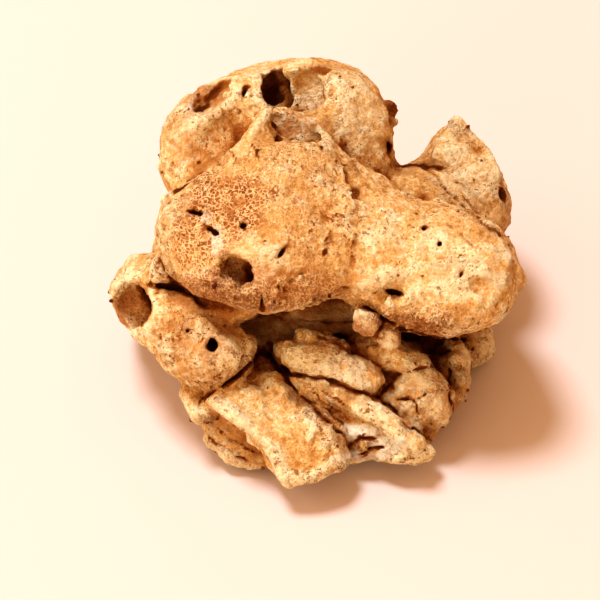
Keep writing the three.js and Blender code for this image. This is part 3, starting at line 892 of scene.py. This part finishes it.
def truffleFinish():
    finish = Finish("truffle_skin")
    place = finish.place()

    def marks(name):
        return finish.noise(place, *skinNoise[name])

    def step(name, value):
        return finish.steps(value, *skinSteps[name])

    def tinted(colour, share, name):
        return finish.blend(share, colour, skinColours[name])

    broad, blotch, fine, dust = marks("broad"), marks("blotch"), marks("fine"), marks("dust")
    grit = fine * 0.45 + dust * 0.55
    paleAndLit, net = finish.attribute("paleAndLit"), finish.attribute("net")
    crestWearAndHighlight, flesh = finish.attribute("crestWearAndHighlight"), finish.attribute("flesh")
    crackStainAndShade = finish.attribute("crackStainAndShade")
    # rust patches and clefts carry painted shade, pale patches painted light
    rustAndShade = finish.attribute("rustAndShade") * (1 - 0.6 * paleAndLit)
    cleft = finish.attribute("cleft") * (1 - 0.7 * paleAndLit) * (1 - 0.8 * flesh)
    # ground colour, from ochre to cream, with brown stains and freckles
    tone = broad * 0.15 + blotch * 0.25 + fine * 0.3 + dust * 0.3
    # painted light and shade: lighter on pale patches and crests, darker in clefts
    tone = tone + paleAndLit * 0.05 + crestWearAndHighlight * 0.07 - cleft * 0.12
    colour = tinted(skinColours["mid"], step("light", tone), "light")
    colour = tinted(colour, step("cream", tone), "cream")
    stain = step("stain", marks("stain") * 0.75 + broad * 0.25) * (1 - 0.6 * paleAndLit)
    colour = tinted(colour, stain * 0.6, "brown")
    colour = tinted(colour, step("freckle", marks("freckle")) * 0.35, "freckle")
    # reddish, gritty places, and painted shade in clefts tinted reddish
    worn = step("worn", blotch * 0.6 + fine * 0.4)
    colour = tinted(colour, (rustAndShade * 1.1 + cleft * 0.7) * worn, "rustAndShade")
    colour = tinted(colour, rustAndShade * step("pinkGrit", grit) * 0.45, "pink")
    colour = tinted(colour, rustAndShade * step("deepGrit", grit) * 0.8, "deep")
    # a net of cream lines round reddish cells
    bent = finish.bent(place, *skinSetup["bend"])
    walls = finish.cells(bent, skinSetup["netScale"], "DISTANCE_TO_EDGE")
    torn = step("torn", blotch * 0.4 + fine * 0.6)
    colour = tinted(colour, net * torn * step("netCell", walls + dust * 0.2), "rustAndShade")
    lines = step("netLine", walls + dust * 0.12) * step("lineGap", marks("lineGap"))
    colour = tinted(colour, net * lines, "net")
    # dark flecks and specks, and pinholes in loose swarms
    patchy = (0.1 + 0.9 * step("patchy", broad * 0.5 + blotch * 0.5)) * (1 - 0.4 * paleAndLit)
    flecks = step("fleck", marks("fleck")) * patchy
    colour = tinted(colour, flecks * 0.95, "fleck")
    colour = tinted(colour, step("speck", marks("speck")) * patchy, "deep")
    holes = finish.cells(bent, skinSetup["pinholeScale"], "F1")
    swarm = step("swarm", marks("swarm")) + finish.attribute("swarm")
    pinholes = step("pinhole", holes + fine * 0.5) * swarm
    colour = tinted(colour, pinholes * 0.8, "deep")
    # soil with some painted shade, broken flesh, and painted shade with some dark stain in cracks, holes
    # and clefts
    soilAndShade = finish.attribute("soilAndShade") * (1 - 0.35 * paleAndLit)
    colour = tinted(colour, soilAndShade * step("soilGrit", grit) * 0.9, "soilAndShade")
    colour = tinted(colour, flesh * step("flesh", fine), "flesh")
    # painted shade: cracks, holes and hollows darkened to deep brown and near black
    shadeAndGrime = crackStainAndShade + cleft * step("shadeGrimeGrit", grit * 0.6 + cleft * 0.4)
    colour = tinted(colour, step("shadeAndGrime", shadeAndGrime), "deep")
    colour = tinted(colour, step("black", shadeAndGrime), "crackStainAndShade")
    colour = finish.node("ShaderNodeGamma", {}, {"Color": colour, "Gamma": skinSetup["gamma"]})
    height = blotch * 0.3 + fine * 0.4 + dust * 0.3 - pinholes * 0.2 - stain * 0.06 - flecks * 0.1
    bump = finish.node("ShaderNodeBump", {},
                       {"Strength": 1.0, "Distance": skinSetup["bump"], "Height": height})
    smooth, rough = skinSetup["roughness"]
    shader = finish.node("ShaderNodeBsdfPrincipled", {},
                         {"Base Color": colour, "Roughness": smooth + rough * fine, "Normal": bump,
                          "Specular IOR Level": skinSetup["specular"]})
    return finish.surface(shader)


truffleSkin.data.materials.append(truffleFinish())
print("skin finish ready")

# floor and light, in metres

floorSetup = dict(half=0.9, colour=(0.54, 0.44, 0.42, 1), washColour=(0.56, 0.46, 0.44, 1),
                  washNoise=(6, 2, 0.55), washShare=0.25, roughness=0.75)


def makeFloor():
    half = floorSetup["half"]
    ends = [(-half, -half, 0), (half, -half, 0), (half, half, 0), (-half, half, 0)]
    mesh = bpy.data.meshes.new("floor")
    mesh.from_pydata(ends, [], [(0, 1, 2, 3)])
    floor = bpy.data.objects.new("floor", mesh)
    bpy.context.scene.collection.objects.link(floor)
    finish = Finish("floor")
    wash = finish.noise(finish.place(), *floorSetup["washNoise"])
    tone = finish.blend(wash * floorSetup["washShare"], floorSetup["colour"], floorSetup["washColour"])
    shader = finish.node("ShaderNodeBsdfPrincipled", {},
                         {"Base Color": tone, "Roughness": floorSetup["roughness"]})
    floor.data.materials.append(finish.surface(shader))


lightSetup = dict(aim=(0, 0, 0.025),
                  key=dict(at=(-0.50, 0.30, 1.55), size=0.5, power=31.0, colour=(0.90, 0.95, 1.0)),
                  fill=dict(at=(-0.45, -0.90, 0.20), size=0.7, power=7.6, colour=(1.0, 0.80, 0.52)),
                  side=dict(at=(-1.00, -0.05, 0.60), size=0.8, power=4.0, colour=(1.0, 0.90, 0.74)),
                  sky=dict(colour=(1.0, 0.56, 0.26), strength=0.92))


def makeLights():
    aim = Vector(lightSetup["aim"])
    for name in ("key", "fill", "side"):
        lamp = lightSetup[name]
        data = bpy.data.lights.new(name, "AREA")
        data.shape = "DISK"
        data.size, data.energy, data.color = lamp["size"], lamp["power"], lamp["colour"]
        light = bpy.data.objects.new(name, data)
        bpy.context.scene.collection.objects.link(light)
        light.location = lamp["at"]
        light.rotation_euler = (aim - light.location).to_track_quat("-Z", "Y").to_euler()
    sky = bpy.data.worlds.new("sky")
    sky.use_nodes = True
    background = sky.node_tree.nodes["Background"]
    background.inputs["Color"].default_value = (*lightSetup["sky"]["colour"], 1)
    background.inputs["Strength"].default_value = lightSetup["sky"]["strength"]
    bpy.context.scene.world = sky
    bpy.context.scene.view_settings.view_transform = "Standard"
    bpy.context.scene.view_settings.look = "Medium High Contrast"


makeFloor()
makeLights()
print("floor and lights ready")
